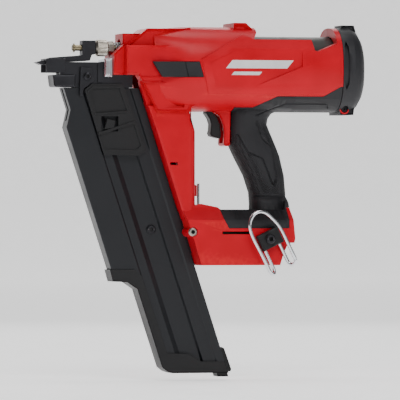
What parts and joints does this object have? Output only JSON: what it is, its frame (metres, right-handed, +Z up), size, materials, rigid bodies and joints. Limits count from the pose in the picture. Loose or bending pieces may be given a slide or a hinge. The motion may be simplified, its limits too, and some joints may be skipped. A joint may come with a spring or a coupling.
{
  "type": "nail gun",
  "caption": "Battery-powered framing nailer with a sealed gas spring, slanted nail magazine, sprung contact arm, trigger and turning belt hook; shown without its battery.",
  "frame": {"origin": "middle of the hand grip, on the mid-plane between the two housing halves", "axes": "+Z up along the handle and magazine, +X back towards the rear cap with nails leaving towards -X, +Y to the right side of somebody who holds it"},
  "size_m": [0.349, 0.096, 0.3695],
  "materials": {
    "red_shell": "satin moulded red",
    "black_plastic": "matte black, glass-filled",
    "soft_rubber": "matte over-moulded skin",
    "anodised": "dark anodised extrusion",
    "dark_steel": "blackened steel",
    "steel": "machined steel",
    "nickel": "worn nickel plating",
    "silver": "bright cast collar",
    "grey_can": "grey coated pressure vessel",
    "chrome": "bright wire",
    "brass": "yellow passivated",
    "copper": "varnished windings",
    "board": "green laminate",
    "elastomer": "amber polyurethane"
  },
  "bodies": {
    "frame": {"battery_terminal": "black_plastic", "bumper": "elastomer", "cap_screw_left": "dark_steel", "cap_screw_right": "dark_steel", "control_board": "board", "cylinder_head": "steel", "drive_cylinder": "steel", "fill_valve": "brass", "foot_bolt": "brass", "front_collar": "silver", "gas_cylinder": "grey_can", "gearbox_case": "steel", "grip_left": "soft_rubber", "grip_right": "soft_rubber", "hook_screw": "dark_steel", "housing_left": "red_shell", "housing_right": "red_shell", "lifter_bearing_left": "steel", "lifter_bearing_right": "steel", "loading_panel": "black_plastic", "lug_screw": "dark_steel", "magazine_body": "anodised", "magazine_bracket": "black_plastic", "magazine_end_cap": "black_plastic", "magazine_lug": "dark_steel", "magazine_screw": "dark_steel", "motor_stator": "copper", "nose_cover": "steel", "nosepiece": "dark_steel", "pad_left": "soft_rubber", "pad_right": "soft_rubber", "rear_cap": "black_plastic", "shell_screw_1": "dark_steel", "shell_screw_2": "dark_steel", "shell_screw_3": "dark_steel", "trigger_pin": "steel", "trigger_spring": "steel", "trigger_switch": "black_plastic"},
    "driver": {"driver_blade": "dark_steel", "piston": "steel", "piston_seal": "soft_rubber"},
    "lifter": {"lifter_wheel": "steel", "lifter_gear": "steel"},
    "output": {"output_gear": "steel"},
    "motor": {"motor_rotor": "steel", "cooling_fan": "black_plastic"},
    "trigger": {"trigger": "black_plastic"},
    "contact_rod": {"contact_rod": "brass", "contact_spring": "steel"},
    "depth_wheel": {"depth_wheel": "nickel"},
    "contact_foot": {"contact_foot": "dark_steel"},
    "pusher": {"pusher": "steel", "pusher_spring": "steel"},
    "nail_stop": {"nail_stop": "black_plastic"},
    "loading_latch": {"loading_latch": "black_plastic"},
    "hook": {"hook_bracket": "black_plastic", "hook_wire": "chrome"},
    "hex_key": {"hex_key": "chrome"}
  },
  "joints": [
    {"name": "motor_spin", "type": "hinge", "parent": "frame", "child": "motor", "pos_m": [-0.0975, 0, 0.03291], "axis": [0, 1, 0], "range_deg": [0, 2578.36]},
    {"name": "output_spin", "type": "hinge", "parent": "frame", "child": "output", "pos_m": [-0.0975, 0, 0.03291], "axis": [0, 1, 0], "range_deg": [0, 429.77]},
    {"name": "lifter_spin", "type": "hinge", "parent": "frame", "child": "lifter", "pos_m": [-0.103, 0, 0.07], "axis": [0, -1, 0], "range_deg": [0, 286.53]},
    {"name": "driver_slide", "type": "slide", "parent": "frame", "child": "driver", "axis": [-1, 0, 0], "range_m": [0, 0.092]},
    {"name": "trigger_pull", "type": "hinge", "parent": "frame", "child": "trigger", "pos_m": [-0.058, 0, 0.054], "axis": [0, -1, 0], "range_deg": [0, 8], "stiffness_Nm_per_rad": 0.4, "springref_deg": -17.19},
    {"name": "contact_press", "type": "slide", "parent": "frame", "child": "contact_rod", "axis": [1, 0, 0], "range_m": [0, 0.012], "stiffness_N_per_m": 350, "springref_m": -0.012},
    {"name": "depth_turn", "type": "hinge", "parent": "contact_rod", "child": "depth_wheel", "pos_m": [-0.17, 0, 0.1162], "axis": [1, 0, 0], "range_deg": [0, 360.2]},
    {"name": "depth_slide", "type": "slide", "parent": "contact_rod", "child": "contact_foot", "axis": [-1, 0, 0], "range_m": [0, 0.005]},
    {"name": "pusher_slide", "type": "slide", "parent": "frame", "child": "pusher", "axis": [-0.3091, 0, 0.951], "range_m": [0, 0.23]},
    {"name": "nail_stop_press", "type": "hinge", "parent": "frame", "child": "nail_stop", "pos_m": [-0.1705, -0.013, 0.0345], "axis": [0, 1, 0], "range_deg": [-6, 0], "stiffness_Nm_per_rad": 0.05, "springref_deg": 5.73},
    {"name": "loading_latch_swing", "type": "hinge", "parent": "frame", "child": "loading_latch", "pos_m": [-0.0446, 0, -0.199], "axis": [0, -1, 0], "range_deg": [0, 15], "stiffness_Nm_per_rad": 0.15, "springref_deg": -11.46},
    {"name": "hook_turn", "type": "hinge", "parent": "frame", "child": "hook", "pos_m": [-0.0036, -0.043, -0.0826], "axis": [0, -1, 0], "range_deg": [-90, 90]},
    {"name": "hex_key_pull", "type": "slide", "parent": "frame", "child": "hex_key", "axis": [0, 0, 1], "range_m": [0, 0.055]}
  ],
  "couplings": [
    {"joint": "motor_spin", "follows": "driver_slide", "rad_per_m": 489.13},
    {"joint": "output_spin", "follows": "driver_slide", "rad_per_m": 81.522},
    {"joint": "lifter_spin", "follows": "driver_slide", "rad_per_m": 54.348},
    {"joint": "depth_turn", "follows": "depth_slide", "rad_per_m": 1256.6}
  ]
}
